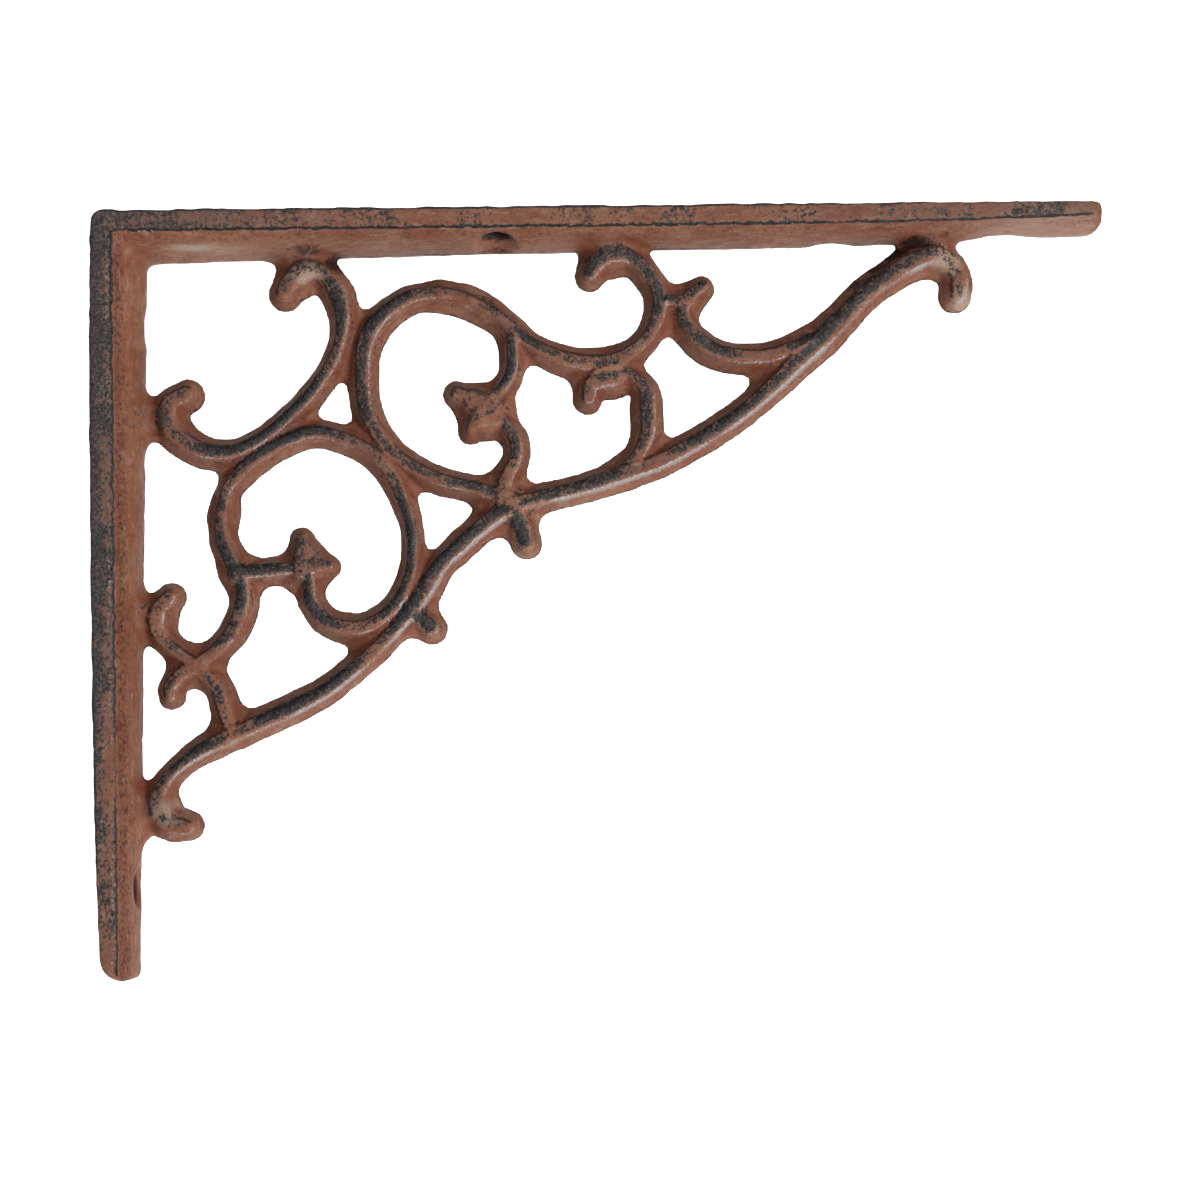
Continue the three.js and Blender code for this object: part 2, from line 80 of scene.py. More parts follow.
# %% Scroll lines
SCROLL_LINES = {
    "corner scroll": [
        [18.5, 10.2, 1.18], [19.2, 8.8, 1.26], [20.4, 7.5, 1.30], [22.1, 7.6, 1.12], [23.5, 10.2, 1.18],
        [24.15, 13.5, 1.03], [23.9, 16.7, 0.89], [22.9, 20.1, 0.91], [21.05, 23.65, 0.91],
        [18.85, 26.7, 0.93], [16.3, 29.5, 0.92], [13.4, 31.4, 1.02], [10.6, 31.3, 1.12], [8.5, 29.8, 1.21],
        [7.0, 27.3, 1.29], [7.2, 24.9, 1.13], [8.8, 23.7, 1.15],
    ],
    "lower ring": [
        [12.1, 39.5, 0.87], [12.6, 36.5, 0.90], [14.1, 34.0, 0.97], [16.0, 31.9, 0.97], [18.6, 30.0, 0.95],
        [21.4, 29.0, 0.98], [24.3, 30.1, 0.99], [26.8, 32.0, 0.99], [28.6, 34.9, 1.02],
        [29.65, 38.1, 0.92], [30.4, 41.6, 0.82], [30.5, 45.0, 0.85], [30.2, 48.2, 0.89],
        [29.2, 51.2, 0.92], [27.8, 53.3, 0.99], [25.8, 54.8, 1.04], [23.7, 54.9, 1.06], [21.8, 53.8, 1.01],
        [20.6, 51.4, 0.96], [20.4, 49.1, 0.92], [20.2, 47.1, 0.92],
    ],
    "lower tail": [
        [12.1, 39.4, 0.86], [12.0, 42.5, 0.98], [12.8, 45.5, 1.04], [13.9, 48.6, 1.00], [13.9, 51.8, 1.03],
        [13.0, 54.9, 1.03], [11.4, 57.4, 0.97], [9.6, 59.2, 1.04], [7.9, 60.5, 0.98], [6.9, 62.1, 0.96],
        [6.9, 63.3, 0.90],
    ],
    "wall hook": [
        [6.9, 50.4, 1.02], [5.8, 52.2, 1.14], [5.7, 54.5, 1.10], [6.7, 56.5, 0.93], [8.2, 58.2, 0.97],
        [9.8, 59.9, 1.03], [11.35, 62.4, 1.00], [11.95, 65.0, 1.03], [12.5, 67.1, 1.04],
    ],
    "cross bar": [
        [13.2, 47.6, 0.98], [15.3, 47.3, 0.98], [17.5, 47.1, 0.98], [19.6, 46.8, 0.91],
    ],
    "lower leaf tip": [
        [19.8, 47.3, 1.11], [19.8, 45.2, 1.05], [19.7, 43.1, 0.90],
    ],
    "lower leaf lobe": [
        [19.6, 47.3, 0.98], [21.2, 46.7, 0.98], [22.4, 46.7, 0.75],
    ],
    "brace": [
        [8.3, 80.4, 1.02], [6.4, 79.7, 1.27], [5.5, 76.9, 1.16], [6.1, 74.8, 0.90], [7.0, 73.3, 0.84],
        [8.5, 71.6, 0.90], [10.6, 69.9, 1.06], [13.8, 68.0, 1.09], [16.5, 66.5, 1.07], [19.2, 64.9, 1.04],
        [21.9, 63.0, 0.99], [24.2, 60.7, 0.99], [26.4, 58.2, 0.99], [28.4, 55.5, 0.98], [30.1, 52.8, 1.11],
        [31.6, 50.1, 1.17], [33.15, 46.9, 1.03], [34.9, 44.7, 1.09], [36.5, 42.8, 1.08],
        [38.2, 41.0, 1.12], [40.5, 39.2, 1.12], [43.2, 38.2, 1.06], [46.2, 37.3, 1.03], [49.2, 36.2, 1.08],
        [52.2, 34.9, 1.10], [55.2, 33.5, 1.10], [58.2, 31.5, 1.07], [61.1, 29.3, 1.06], [63.9, 26.7, 1.04],
        [66.6, 23.6, 1.13], [69.2, 20.2, 1.28], [71.9, 17.0, 1.33], [74.2, 14.0, 1.22], [76.3, 11.2, 1.22],
        [78.4, 9.2, 1.20], [80.5, 7.5, 1.24], [82.9, 6.3, 1.22], [84.6, 7.4, 1.27], [85.5, 9.4, 1.22],
        [85.4, 11.7, 1.18],
    ],
    "lower bud": [
        [30.3, 52.9, 1.05], [32.2, 55.2, 1.08],
    ],
    "upper bud": [
        [40.4, 39.3, 1.19], [41.2, 42.0, 1.13], [41.7, 44.2, 1.08],
    ],
    "upper ring": [
        [38.2, 12.9, 0.78], [36.3, 11.55, 0.84], [33.8, 10.75, 0.96], [31.1, 11.1, 1.03],
        [29.0, 12.6, 1.05], [27.3, 14.7, 1.12], [26.2, 17.7, 1.15], [26.0, 21.0, 1.06], [26.1, 25.1, 1.05],
        [27.0, 28.6, 1.03], [28.5, 31.5, 1.04], [30.6, 33.8, 1.05], [33.3, 35.6, 1.00], [35.9, 36.5, 0.96],
        [38.2, 37.4, 1.06], [40.4, 38.5, 1.12],
    ],
    "ring return": [
        [36.4, 11.6, 0.84], [38.8, 13.2, 0.84], [40.5, 15.5, 0.87], [40.7, 18.4, 0.91], [40.6, 21.1, 0.91],
        [39.7, 23.4, 0.86], [38.4, 25.2, 0.83],
    ],
    "ring curl": [
        [37.9, 25.9, 0.80], [39.65, 28.1, 0.85], [40.8, 30.4, 0.97], [40.8, 32.9, 0.97],
        [39.8, 35.6, 1.06], [39.5, 38.0, 1.12],
    ],
    "upper leaf tip": [
        [38.8, 25.9, 1.06], [37.2, 25.3, 1.29], [35.2, 24.1, 0.98],
    ],
    "upper leaf lobe": [
        [38.8, 26.4, 1.06], [37.6, 27.2, 1.32], [36.5, 29.0, 0.90],
    ],
    "shelf scroll": [
        [33.8, 10.8, 0.88], [36.3, 11.6, 0.82], [38.75, 13.45, 0.82], [40.75, 15.7, 0.90],
        [42.8, 17.8, 0.96], [45.2, 19.4, 1.07], [47.8, 20.3, 1.13], [50.4, 20.3, 1.20], [52.5, 18.9, 1.01],
        [54.3, 16.6, 0.94], [55.3, 13.6, 1.05], [55.25, 10.6, 1.05], [54.2, 8.2, 1.05], [52.8, 6.4, 1.04],
        [50.9, 5.9, 1.14], [49.3, 6.8, 1.20], [48.6, 8.4, 1.02],
    ],
    "bud scroll": [
        [48.1, 25.0, 1.02], [48.4, 23.3, 1.12], [49.4, 22.4, 1.42], [50.8, 22.1, 1.45], [52.1, 21.8, 0.88],
        [53.8, 23.9, 1.07], [53.95, 26.6, 1.15], [53.9, 29.6, 1.09], [53.0, 32.5, 0.98],
        [51.4, 34.7, 0.88],
    ],
    "scroll link": [
        [56.4, 12.1, 0.87], [58.4, 12.2, 0.87],
    ],
    "brace scroll": [
        [59.8, 10.2, 0.90], [58.6, 11.3, 0.95], [57.7, 13.2, 0.97], [58.0, 15.3, 1.03], [59.5, 17.8, 1.10],
        [61.5, 19.3, 1.10], [63.9, 19.8, 1.10], [66.3, 19.7, 1.08], [68.6, 18.6, 0.93], [70.3, 17.8, 0.85],
    ],
}
# Where the scrolls grow out of the arms: the place on the arm, the place on the scroll, and both half widths.
ROOTS = [
    [[19.8, 3.4, 1.95], [20.2, 7.8, 1.40]], [[50.2, 3.0, 1.55], [51.0, 6.2, 1.25]],
    [[83.3, 3.0, 1.65], [83.1, 6.6, 1.25]], [[2.2, 26.6, 1.75], [7.0, 26.7, 1.18]],
    [[2.2, 52.3, 1.65], [5.9, 53.0, 1.15]], [[2.2, 78.9, 2.00], [5.7, 77.5, 1.18]],
]
# The broad middles of the two leaves, between their lobes, drawn the same way.
LEAVES = [[[37.2, 25.45, 1.33], [38.0, 27.65, 1.33]], [[20.0, 44.9, 1.19], [21.2, 46.9, 1.19]]]
print(len(SCROLL_LINES), "scroll lines,", len(ROOTS), "roots and", len(LEAVES), "leaves")

# %% [markdown]
# ## A smooth curve through the points
# A Catmull-Rom curve passes through every point, and its direction at a point is that from the one before
# to the one after. It was chosen over a Bezier curve because it needs no handles.

# %% The curve
def follow(points, steps=4):
    """Catmull-Rom curve as an array of out, down and half width in millimetres.

    Between points b and c, with a before and d after, the place at t is half of
    2b + (c - a) t + (2a - 5b + 4c - d) t squared + (3b - a - 3c + d) t cubed.
    """
    scale = np.array([SHELF_LENGTH / 100, WALL_LENGTH / 100, BAR_WIDTH / 2])
    p = np.asarray(points, float) * scale
    p = np.vstack([2 * p[0] - p[1], p, 2 * p[-1] - p[-2]])
    a, b, c, d = (p[i : len(p) - 3 + i, None] for i in range(4))
    t = (np.arange(steps) / steps)[None, :, None]
    inner = 0.5 * (2 * b + (c - a) * t + (2 * a - 5 * b + 4 * c - d) * t**2 + (3 * b - a - 3 * c + d) * t**3)
    return np.vstack([inner.reshape(-1, 3), p[-2]])


# %% [markdown]
# ## Why a field, and not swept tubes
# A tube swept along each line would cut straight through its neighbours and leave a hard crease at every
# join, and a casting has none. So the whole bracket is one function of space that is positive inside the
# iron and negative outside. Two shapes are joined by a maximum that is rounded where the two are nearly
# equal, and that rounding is exactly the fillet of metal that the sand mould leaves. The surface is then
# drawn where the function is zero.

# %% The grid and the rounded joins
PITCH = 0.5
MARGIN = 3.0
out = np.arange(-MARGIN, SHELF_LENGTH + MARGIN, PITCH)
down = np.arange(-MARGIN, WALL_LENGTH + MARGIN, PITCH)
across = np.arange(-25, 26) * PITCH
OUT, DOWN = np.meshgrid(out, down, indexing="ij")


def join(a, b, reach):
    """Rounded maximum: the larger of the two, plus, where they differ by less than reach, the square of
    (reach - difference) over 4 reach."""
    near = np.maximum(reach - np.abs(a - b), 0)
    return np.maximum(a, b) + near * near / (4 * reach)


def cut(a, b, reach):
    """Rounded minimum, the mirror image of join."""
    return -join(-a, -b, reach)


print("grid of", len(out), "by", len(across), "by", len(down), "points")

# %% [markdown]
# ## The relief of the scrollwork
# Each bar is widest at the parting plane and its walls slope in to a narrow ridge that the eye follows
# along the curve. Seen from the front that is a relief: a height over the parting plane for every place.
# Where bars meet, the corner between them is filled, far out at the parting plane and hardly at all at
# the ridges. A leaf is a short bar with a broad top, and a root is a low bar that runs from an arm to the
# scroll.

# %% The relief of one bar
FOOT_FILLET, TOP_FILLET = 8.2, 1.4
RIDGE_GROWTH, LEAF_GROWTH = 0.6, 1.6
CROWN = 0.04  # how far the ridge falls from its middle to its edge, as a share of the height
ROOT_HEIGHT, ROOT_FILLET = 3.6, 3.0
OUTSIDE, FAR, DEEP = 9.0, 99.0, -30.0  # start values, well away from any bar
RUN, AROUND = 16, 14  # pieces of a line worked on at once, and the millimetres round them


def bar_relief(path, top, growth=RIDGE_GROWTH):
    """Height over the parting plane, in millimetres, of a bar that follows the path and rises to the given
    top, and how far each place lies from the middle of its ridge, where 1 is the ridge's edge.

    The distance from the line, as a share of the half width, is u. Up to the ridge's edge the height stays
    almost level, dropping by a share of u squared, and from there it falls along a wall to nothing at u = 1
    and on below it, which only matters to the rounded join. A stouter bar has a wider ridge.
    """
    share = np.full(OUT.shape, OUTSIDE, np.float32)
    half = np.full(OUT.shape, BAR_WIDTH / 2, np.float32)
    least = np.full(OUT.shape, FAR, np.float32)
    for start in range(0, len(path) - 1, RUN):
        piece = path[start : start + RUN + 1]
        low, high = piece[:, :2].min(0) - AROUND, piece[:, :2].max(0) + AROUND
        i = slice(*np.searchsorted(out, [low[0], high[0]]))
        j = slice(*np.searchsorted(down, [low[1], high[1]]))
        a, b = piece[:-1], piece[1:]
        step = b - a
        x = OUT[i, j, None] - a[:, 0]
        z = DOWN[i, j, None] - a[:, 1]
        t = np.clip((x * step[:, 0] + z * step[:, 1]) / (step[:, 0] ** 2 + step[:, 1] ** 2), 0, 1)
        away = np.hypot(x - t * step[:, 0], z - t * step[:, 1])
        width = a[:, 2] + t * step[:, 2]
        nearest = np.argmin(away - width, axis=-1)[..., None]
        away = np.take_along_axis(away, nearest, -1)[..., 0]
        width = np.take_along_axis(width, nearest, -1)[..., 0]
        better = away - width < least[i, j]
        least[i, j] = np.where(better, away - width, least[i, j])
        share[i, j] = np.where(better, away / width, share[i, j])
        half[i, j] = np.where(better, width, half[i, j])
    ridge = (RIDGE_WIDTH + growth * (2 * half - BAR_WIDTH)) / (2 * half)
    level = top * (1 - CROWN * np.minimum(share / ridge, 1) ** 2)
    wall = (1 - CROWN) * top * (1 - (share - ridge) / (1 - ridge))
    return np.where(share < ridge, level, wall), share / ridge


relief = np.full(OUT.shape, DEEP, np.float32)
highest = relief.copy()
from_ridge = np.full(OUT.shape, OUTSIDE, np.float32)
on_brace = np.zeros(OUT.shape, np.float32)
for name, points in SCROLL_LINES.items():
    bar, off_ridge = bar_relief(follow(points), BAR_DEPTH / 2)
    from_ridge = np.where(bar > highest, off_ridge, from_ridge)
    on_brace = np.where(bar > highest, name == "brace", on_brace)
    highest = np.maximum(highest, bar)
    low_down = 1 - np.clip(np.maximum(relief, bar) / (BAR_DEPTH / 2), 0, 1)
    relief = join(relief, bar, TOP_FILLET + (FOOT_FILLET - TOP_FILLET) * low_down)
for points in LEAVES:
    relief = join(relief, bar_relief(follow(points), BAR_DEPTH / 2, LEAF_GROWTH)[0], TOP_FILLET)
for points in ROOTS:
    relief = join(relief, bar_relief(follow(points), ROOT_HEIGHT)[0], ROOT_FILLET)
print("relief up to %.2f mm" % relief.max())

# %% [markdown]
# ## The arms
# Each arm is a strip with a flat outer face, thin square edges and a rounded rib inside, which is highest
# at the corner. The rib's height falls off as the square of the distance from the middle plane. The arms
# could be boxes with bevels, but as fields they join the scrolls with a fillet. Near the tip the shelf
# arm has a shallow dip underneath, where the metal shrank.

# %% The arms as a field
CORNER_ROUND = 3.0
EDGE_ROUND = 0.7
MITRE_FILLET = 2.4
WALL_TIP_ROUNDS = (1.6, 7.6, 5.0)  # at the rib, at the outer face and at the sides
SHELF_TIP_ROUNDS = (0.6, 4.0, 6.0)
DIP_PLACE, DIP_DEPTH, DIP_WIDTH = 218.0, 1.5, 8.0  # under the shelf arm, out from the wall
x = out[:, None, None]
z = down[None, None, :]
y = across[None, :, None]


def along_arm(law, share):
    """A size along an arm: the corner's value plus the change to the tip times the share to the power."""
    corner, tip, power = law
    return corner + (tip - corner) * np.clip(share, 0, 1) ** power


def arm_face(share, y, edge, rib):
    """Depth of the rib's face under the flat outer face, and how steep it is: the edge's thickness plus a rib
    that falls to nothing as the square of the distance from the middle."""
    height = along_arm(rib, share)
    return (along_arm(edge, share) + height * (1 - (2 * y / ARM_WIDTH) ** 2),
            np.hypot(1, 8 * height * y / ARM_WIDTH**2))


sides = ARM_WIDTH / 2 - np.abs(y) + 0 * x + 0 * z
wall_depth, wall_slope = arm_face(z / WALL_LENGTH, y, WALL_EDGE, WALL_RIB)
shelf_depth, shelf_slope = arm_face(x / SHELF_LENGTH, y, SHELF_EDGE, SHELF_RIB)
dip = DIP_DEPTH * np.exp(-((x - DIP_PLACE) / DIP_WIDTH) ** 2)
shelf_depth = shelf_depth - dip * np.where(y < 0, 1 - (2 * y / ARM_WIDTH) ** 2, 1)
# The outer faces as cast: the wall's stands a little proud and draws back at the corner and at the foot.
WALL_PROUD, SHELF_PROUD, CORNER_BACK, FOOT_BACK = 0.4, 0.15, 1.2, 1.25
wall_back = x + WALL_PROUD - CORNER_BACK * np.exp(-np.abs(z) / 20)
wall_back = wall_back - FOOT_BACK * np.clip(z / WALL_LENGTH, 0, 1) ** 8
shelf_top = z + SHELF_PROUD + 0 * x
wall_tip, shelf_tip = WALL_LENGTH - z + 0 * x, SHELF_LENGTH - x + 0 * z


def rounded_tip(rib_side, tip, outer_face, rounds):
    """The least of the arm's faces, with each edge at the tip rounded by its own amount."""
    return np.minimum(cut(rib_side, tip, rounds[0]),
                      np.minimum(cut(tip, outer_face, rounds[1]), cut(tip, sides, rounds[2])))


wall_arm = rounded_tip((wall_depth - x) / wall_slope, wall_tip, wall_back, WALL_TIP_ROUNDS)
shelf_arm = rounded_tip((shelf_depth - z) / shelf_slope, shelf_tip, shelf_top, SHELF_TIP_ROUNDS)
arms = cut(join(wall_arm, shelf_arm, MITRE_FILLET), sides, EDGE_ROUND)
arms = cut(arms, np.minimum(wall_back, shelf_top), EDGE_ROUND)
outer_faces = cut(wall_back, shelf_top, CORNER_ROUND)
arms = np.minimum(arms, outer_faces)
print("rib at the corner %.1f mm deep, at the tips %.1f and %.1f"
      % (WALL_EDGE[0] + WALL_RIB[0], SHELF_EDGE[1] + SHELF_RIB[1], WALL_EDGE[1] + WALL_RIB[1]))

# %% [markdown]
# ## One casting
# The relief becomes a solid by asking how far a place lies under it, on either side of the parting plane.
# Dividing by the slope turns heights into true distances, so that the fillet against the arms is the same
# all round. The outer faces cut the result once more, because a fillet must not stand out of a face that
# lies on a wall.

# %% Join the scrollwork to the arms
ARM_FILLET = 3.2
STEEPEST = 3.0
lift_x, lift_z = np.gradient(relief, PITCH)
steepness = np.sqrt(1 + np.minimum(lift_x**2 + lift_z**2, STEEPEST**2)).astype(np.float32)
scrollwork = (relief[:, None, :] - np.abs(y)) / steepness[:, None, :]
iron = np.minimum(join(arms, scrollwork, ARM_FILLET), outer_faces).astype(np.float32)
print("arm fillet:", ARM_FILLET, "mm")

# %% [markdown]
# ## Screw holes
# Each hole is a cylinder with a cone at the rib's side, where the screw's head sits. It could be a
# Boolean modifier, but cut from the field its edges get the small rounding that a worn casting has.

# %% Cut the screw holes
PAST_FACE = 2.0
HOLE_EDGE_ROUND = 0.5
HOLE_REACH, HOLE_DEPTH = 12, 18  # how far round a screw, and how deep, the field is worked on


def screw_hole(field, from_axis, depth, face):
    """Removes a bore and a countersink. from_axis is the distance from the screw's axis, and the cone widens
    by the head's overhang over its depth, up to just past the face."""
    bore, head = SCREW_BORE / 2, SCREW_HEAD / 2
    widening = (head - bore) / HEAD_DEPTH
    cone = (bore + widening * (depth - (face - HEAD_DEPTH)) - from_axis) / np.hypot(1, widening)
    cone = np.minimum(cone, face + PAST_FACE - depth)
    bored = np.minimum(bore - from_axis, face + PAST_FACE - depth)
    return cut(field, -np.maximum(bored, cone), HOLE_EDGE_ROUND)


arms_to_drill = [
    (SHELF_SCREWS, out, down, SHELF_LENGTH, SHELF_EDGE, SHELF_RIB, iron),
    (WALL_SCREWS, down, out, WALL_LENGTH, WALL_EDGE, WALL_RIB, iron.transpose(2, 1, 0)),
]
for screws, along, depth, length, edge, rib, field in arms_to_drill:
    for place, offset in screws:
        near, shallow = np.abs(along - place) < HOLE_REACH, depth < HOLE_DEPTH
        block = np.ix_(near, across == across, shallow)
        from_axis = np.hypot(along[near, None, None] - place, y - offset)
        face = float(arm_face(place / length, offset, edge, rib)[0])
        field[block] = screw_hole(field[block], from_axis, depth[None, None, shallow], face)
print(len(SHELF_SCREWS) + len(WALL_SCREWS), "screw holes of", SCREW_BORE, "mm")


# %% [markdown]
# ## The wobble of a casting
# Sand is not a machined mould: no face is quite flat and no line quite even. A lattice of random numbers
# every few millimetres, smoothly filled in between, is added to the field, and moves the surface by that
# much. Displacing the finished mesh would do as well, but this way the quads stay even.

# %% Add the wobble
WOBBLE = [(9.0, 0.11), (3.4, 0.12), (1.7, 0.10)]  # spacing and height, in millimetres


def lattice_noise(spacing, seed):
    """Random numbers from -1 to 1 on a lattice, blended between neighbours along each axis with the weights
    of a raised cosine."""
    rng = np.random.default_rng(seed)
    axes = []
    for axis in (out, across, down):
        place = (axis - axis[0]) / spacing
        cell = place.astype(int)
        t = 0.5 - 0.5 * np.cos(np.pi * (place - cell))
        weights = np.zeros((len(axis), cell[-1] + 2), np.float32)
        row = np.arange(len(axis))
        weights[row, cell] = 1 - t
        weights[row, cell + 1] = t
        axes.append(weights)
    lattice = rng.uniform(-1, 1, [w.shape[1] for w in axes]).astype(np.float32)
    lattice = np.tensordot(axes[0], lattice, 1)
    lattice = np.einsum("jb,ibc->ijc", axes[1], lattice, optimize=True)
    return np.tensordot(lattice, axes[2], (2, 1))


iron += sum(tall * lattice_noise(spacing, seed) for seed, (spacing, tall) in enumerate(WOBBLE, 1))
print("wobble of up to %.2f mm" % sum(tall for spacing, tall in WOBBLE))


# %% [markdown]
# ## From field to mesh
# Surface nets puts one vertex in each cell that the surface passes through, at the mean of the places
# where it crosses the cell's edges, and joins the vertices of the four cells round each crossed edge with
# a quad. It gives even quads and needs no tables. Each vertex then takes two short steps along the
# field's slope, onto the surface.

# %% Surface nets
def sample(field, points):
    """The field at any points (in grid steps), blended between the eight neighbours."""
    base = np.clip(points.astype(int), 0, np.array(field.shape) - 2)
    t = (points - base).astype(np.float32)
    total = np.zeros(len(points), np.float32)
    for corner in range(8):
        step = np.array([corner & 1, corner >> 1 & 1, corner >> 2 & 1])
        weight = np.prod(np.where(step, t, 1 - t), axis=1)
        total += weight * field[tuple((base + step).T)]
    return total


def slope(field, points, reach=1.0):
    """The field's slope, from the difference of two samples along each axis."""
    steps = np.eye(3) * reach
    rise = [sample(field, points + step) - sample(field, points - step) for step in steps]
    return np.stack(rise, 1) / (2 * reach)


def surface_nets(field):
    """Vertices in grid steps, and quads whose faces point towards negative values."""
    inside = field > 0
    count = np.zeros([size - 1 for size in field.shape], np.int8)
    corners = [np.array([c & 1, c >> 1 & 1, c >> 2 & 1]) for c in range(8)]
    for corner in corners:
        count += inside[tuple(slice(start, size - 1 + start) for start, size in zip(corner, field.shape))]
    cells = np.argwhere((count > 0) & (count < 8))
    number = np.full(count.shape, -1, np.int32)
    number[tuple(cells.T)] = np.arange(len(cells))
    total = np.zeros((len(cells), 3), np.float32)
    crossings = np.zeros(len(cells), np.float32)
    eye = np.eye(3, dtype=int)
    for a in corners:
        for axis in np.flatnonzero(a == 0):
            b = a + eye[axis]
            at_a, at_b = field[tuple((cells + a).T)], field[tuple((cells + b).T)]
            hit = (at_a > 0) != (at_b > 0)
            t = np.where(hit, at_a / np.where(hit, at_a - at_b, 1), 0)
            total += hit[:, None] * (a + t[:, None] * (b - a))
            crossings += hit
    vertices = cells + total / crossings[:, None]
    quads = []
    for axis in range(3):
        u, v = (axis + 1) % 3, (axis + 2) % 3
        first = [slice(1, -1)] * 3
        second = list(first)
        first[axis], second[axis] = slice(0, -1), slice(1, None)
        change = inside[tuple(first)].astype(np.int8) - inside[tuple(second)]
        for sign in (1, -1):
            at = np.argwhere(change == sign)
            at[:, u] += 1
            at[:, v] += 1
            ring = [at - eye[u] - eye[v], at - eye[v], at, at - eye[u]]
            quad = np.stack([number[tuple(r.T)] for r in ring], 1)
            quads.append(quad if sign > 0 else quad[:, ::-1])
    return vertices, np.concatenate(quads)


LONGEST_STEP = 0.6  # in grid steps
vertices, quads = surface_nets(iron)
for _ in range(2):
    uphill = slope(iron, vertices, 0.7)
    step = sample(iron, vertices) / (uphill * uphill).sum(1)
    vertices = vertices - np.clip(step, -LONGEST_STEP, LONGEST_STEP)[:, None] * uphill
print(len(vertices), "vertices and", len(quads), "quads")


# %% [markdown]
# ## The mesh
# The mesh is thinned where the surface is nearly flat, because a large flat facet and many small ones
# look alike.

# %% Put the casting into a mesh
def to_metres(points):
    """Grid steps to metres in the shared frame: out is X, y is Y, and down runs from the shelf face."""
    return np.stack([out[0] + points[:, 0] * PITCH, across[0] + points[:, 1] * PITCH,
                     WALL_LENGTH / 2 - (down[0] + points[:, 2] * PITCH)], 1) / 1000


mesh = bpy.data.meshes.new("bracket")
mesh.vertices.add(len(vertices))
mesh.vertices.foreach_set("co", to_metres(vertices).astype(np.float32).ravel())
mesh.loops.add(quads.size)
mesh.loops.foreach_set("vertex_index", quads[:, ::-1].astype(np.int32).ravel())
mesh.polygons.add(len(quads))
mesh.polygons.foreach_set("loop_start", np.arange(0, quads.size, 4, dtype=np.int32))
mesh.polygons.foreach_set("loop_total", np.full(len(quads), 4, np.int32))
mesh.update(calc_edges=True)
mesh.validate()
bracket = bpy.data.objects.new("cast_bracket", mesh)
bpy.context.scene.collection.objects.link(bracket)
TRIANGLES = 185000
thin = bracket.modifiers.new("thin", "DECIMATE")
thin.ratio = TRIANGLES / (2 * len(quads))
bpy.context.view_layer.update()
thinned = bpy.data.meshes.new_from_object(bracket.evaluated_get(bpy.context.evaluated_depsgraph_get()))
bracket.modifiers.clear()
bracket.data = thinned
thinned.name = "cast_bracket"
thinned.polygons.foreach_set("use_smooth", np.ones(len(thinned.polygons), bool))
place = np.empty(3 * len(thinned.vertices), np.float32)
thinned.vertices.foreach_get("co", place)
place = place.reshape(-1, 3).astype(float) * 1000
print("thinned to", len(thinned.polygons), "faces")

# %% [markdown]
# ## Where the paint wears
# Paint is rubbed off where a hand or a cloth reaches first: the ridges of the scrolls and the flat sides
# of the arms. The wear could be painted by hand on a texture, but numbers stored on the vertices follow
# the shape exactly and need no image. Most numbers say how much of the paint is gone there, and the
# material breaks it up into specks; others place grime, painted shade and painted highlights.

# %% Numbers to read from the field
far_out, far_down = place[:, 0], WALL_LENGTH / 2 - place[:, 2]
grid_place = np.stack([far_out - out[0], place[:, 1] - across[0], far_down - down[0]], 1) / PITCH


def bulge(reach_mm):
    """How proud a place stands: six times the value here less the six values a reach away, over the reach."""
    reach = reach_mm / PITCH
    steps = [sign * reach * np.eye(3)[axis] for axis in range(3) for sign in (1, -1)]
    around = sum(sample(iron, grid_place + step) for step in steps)
    return (6 * sample(iron, grid_place) - around) / reach_mm


def smooth_step(values, low, high):
    """From 0 at low to 1 at high, level at both ends: 3t squared less 2t cubed."""
    t = np.clip((values - low) / (high - low), 0, 1)
    return t * t * (3 - 2 * t)


def flat_sample(layer):
    """A layer seen from the front, read at the vertices."""
    flat = np.stack([grid_place[:, 0], grid_place[:, 0] * 0, grid_place[:, 2]], 1)
    return sample(np.repeat(layer[:, None, :].astype(np.float32), 2, 1), flat)


height = flat_sample(relief) / (BAR_DEPTH / 2)
fall_out, fall_down = -flat_sample(lift_x), -flat_sample(lift_z)
off_ridge = flat_sample(np.minimum(from_ridge, 4))
print("relief at the vertices: %.2f to %.2f of a bar's" % (height.min(), height.max()))

# %% [markdown]
# ## Places that stand out
# Wear is a matter of chance and of hands, so the places where this bracket has more or less of it than
# the rule gives are written down. A formula would make every scroll alike, and a painted image would not
# follow a change of shape.

# %% Lists of places
WORN = [  # places more or less worn than the rest of the scrolls: out, down, how far in mm, and how much
    (44, 50, 17, 0.16), (115, 35, 17, -0.20), (99, 64, 9, -0.22), (131, 57, 9, -0.20), (24, 106, 9, -0.22),
    (30, 119, 8, -0.22), (58, 31, 7, -0.14), (158, 36, 9, -0.22), (183, 21, 19, 0.02), (150, 48, 13, 0.05),
    (50, 110, 20, 0.14), (85, 80, 12, 0.16), (73, 78, 13, 0.10), (30, 76, 13, 0.08), (19, 46, 11, -0.14),
    (49, 18, 9, -0.14), (66, 57, 10, -0.10), (18, 92, 9, -0.22), (50, 82, 8, 0.12), (203, 16, 11, -0.26),
    (61, 99, 10, -0.24), (14, 97, 8, -0.20), (17, 114, 7, -0.22), (20, 147, 9, -0.28), (88, 72, 6, -0.10),
]
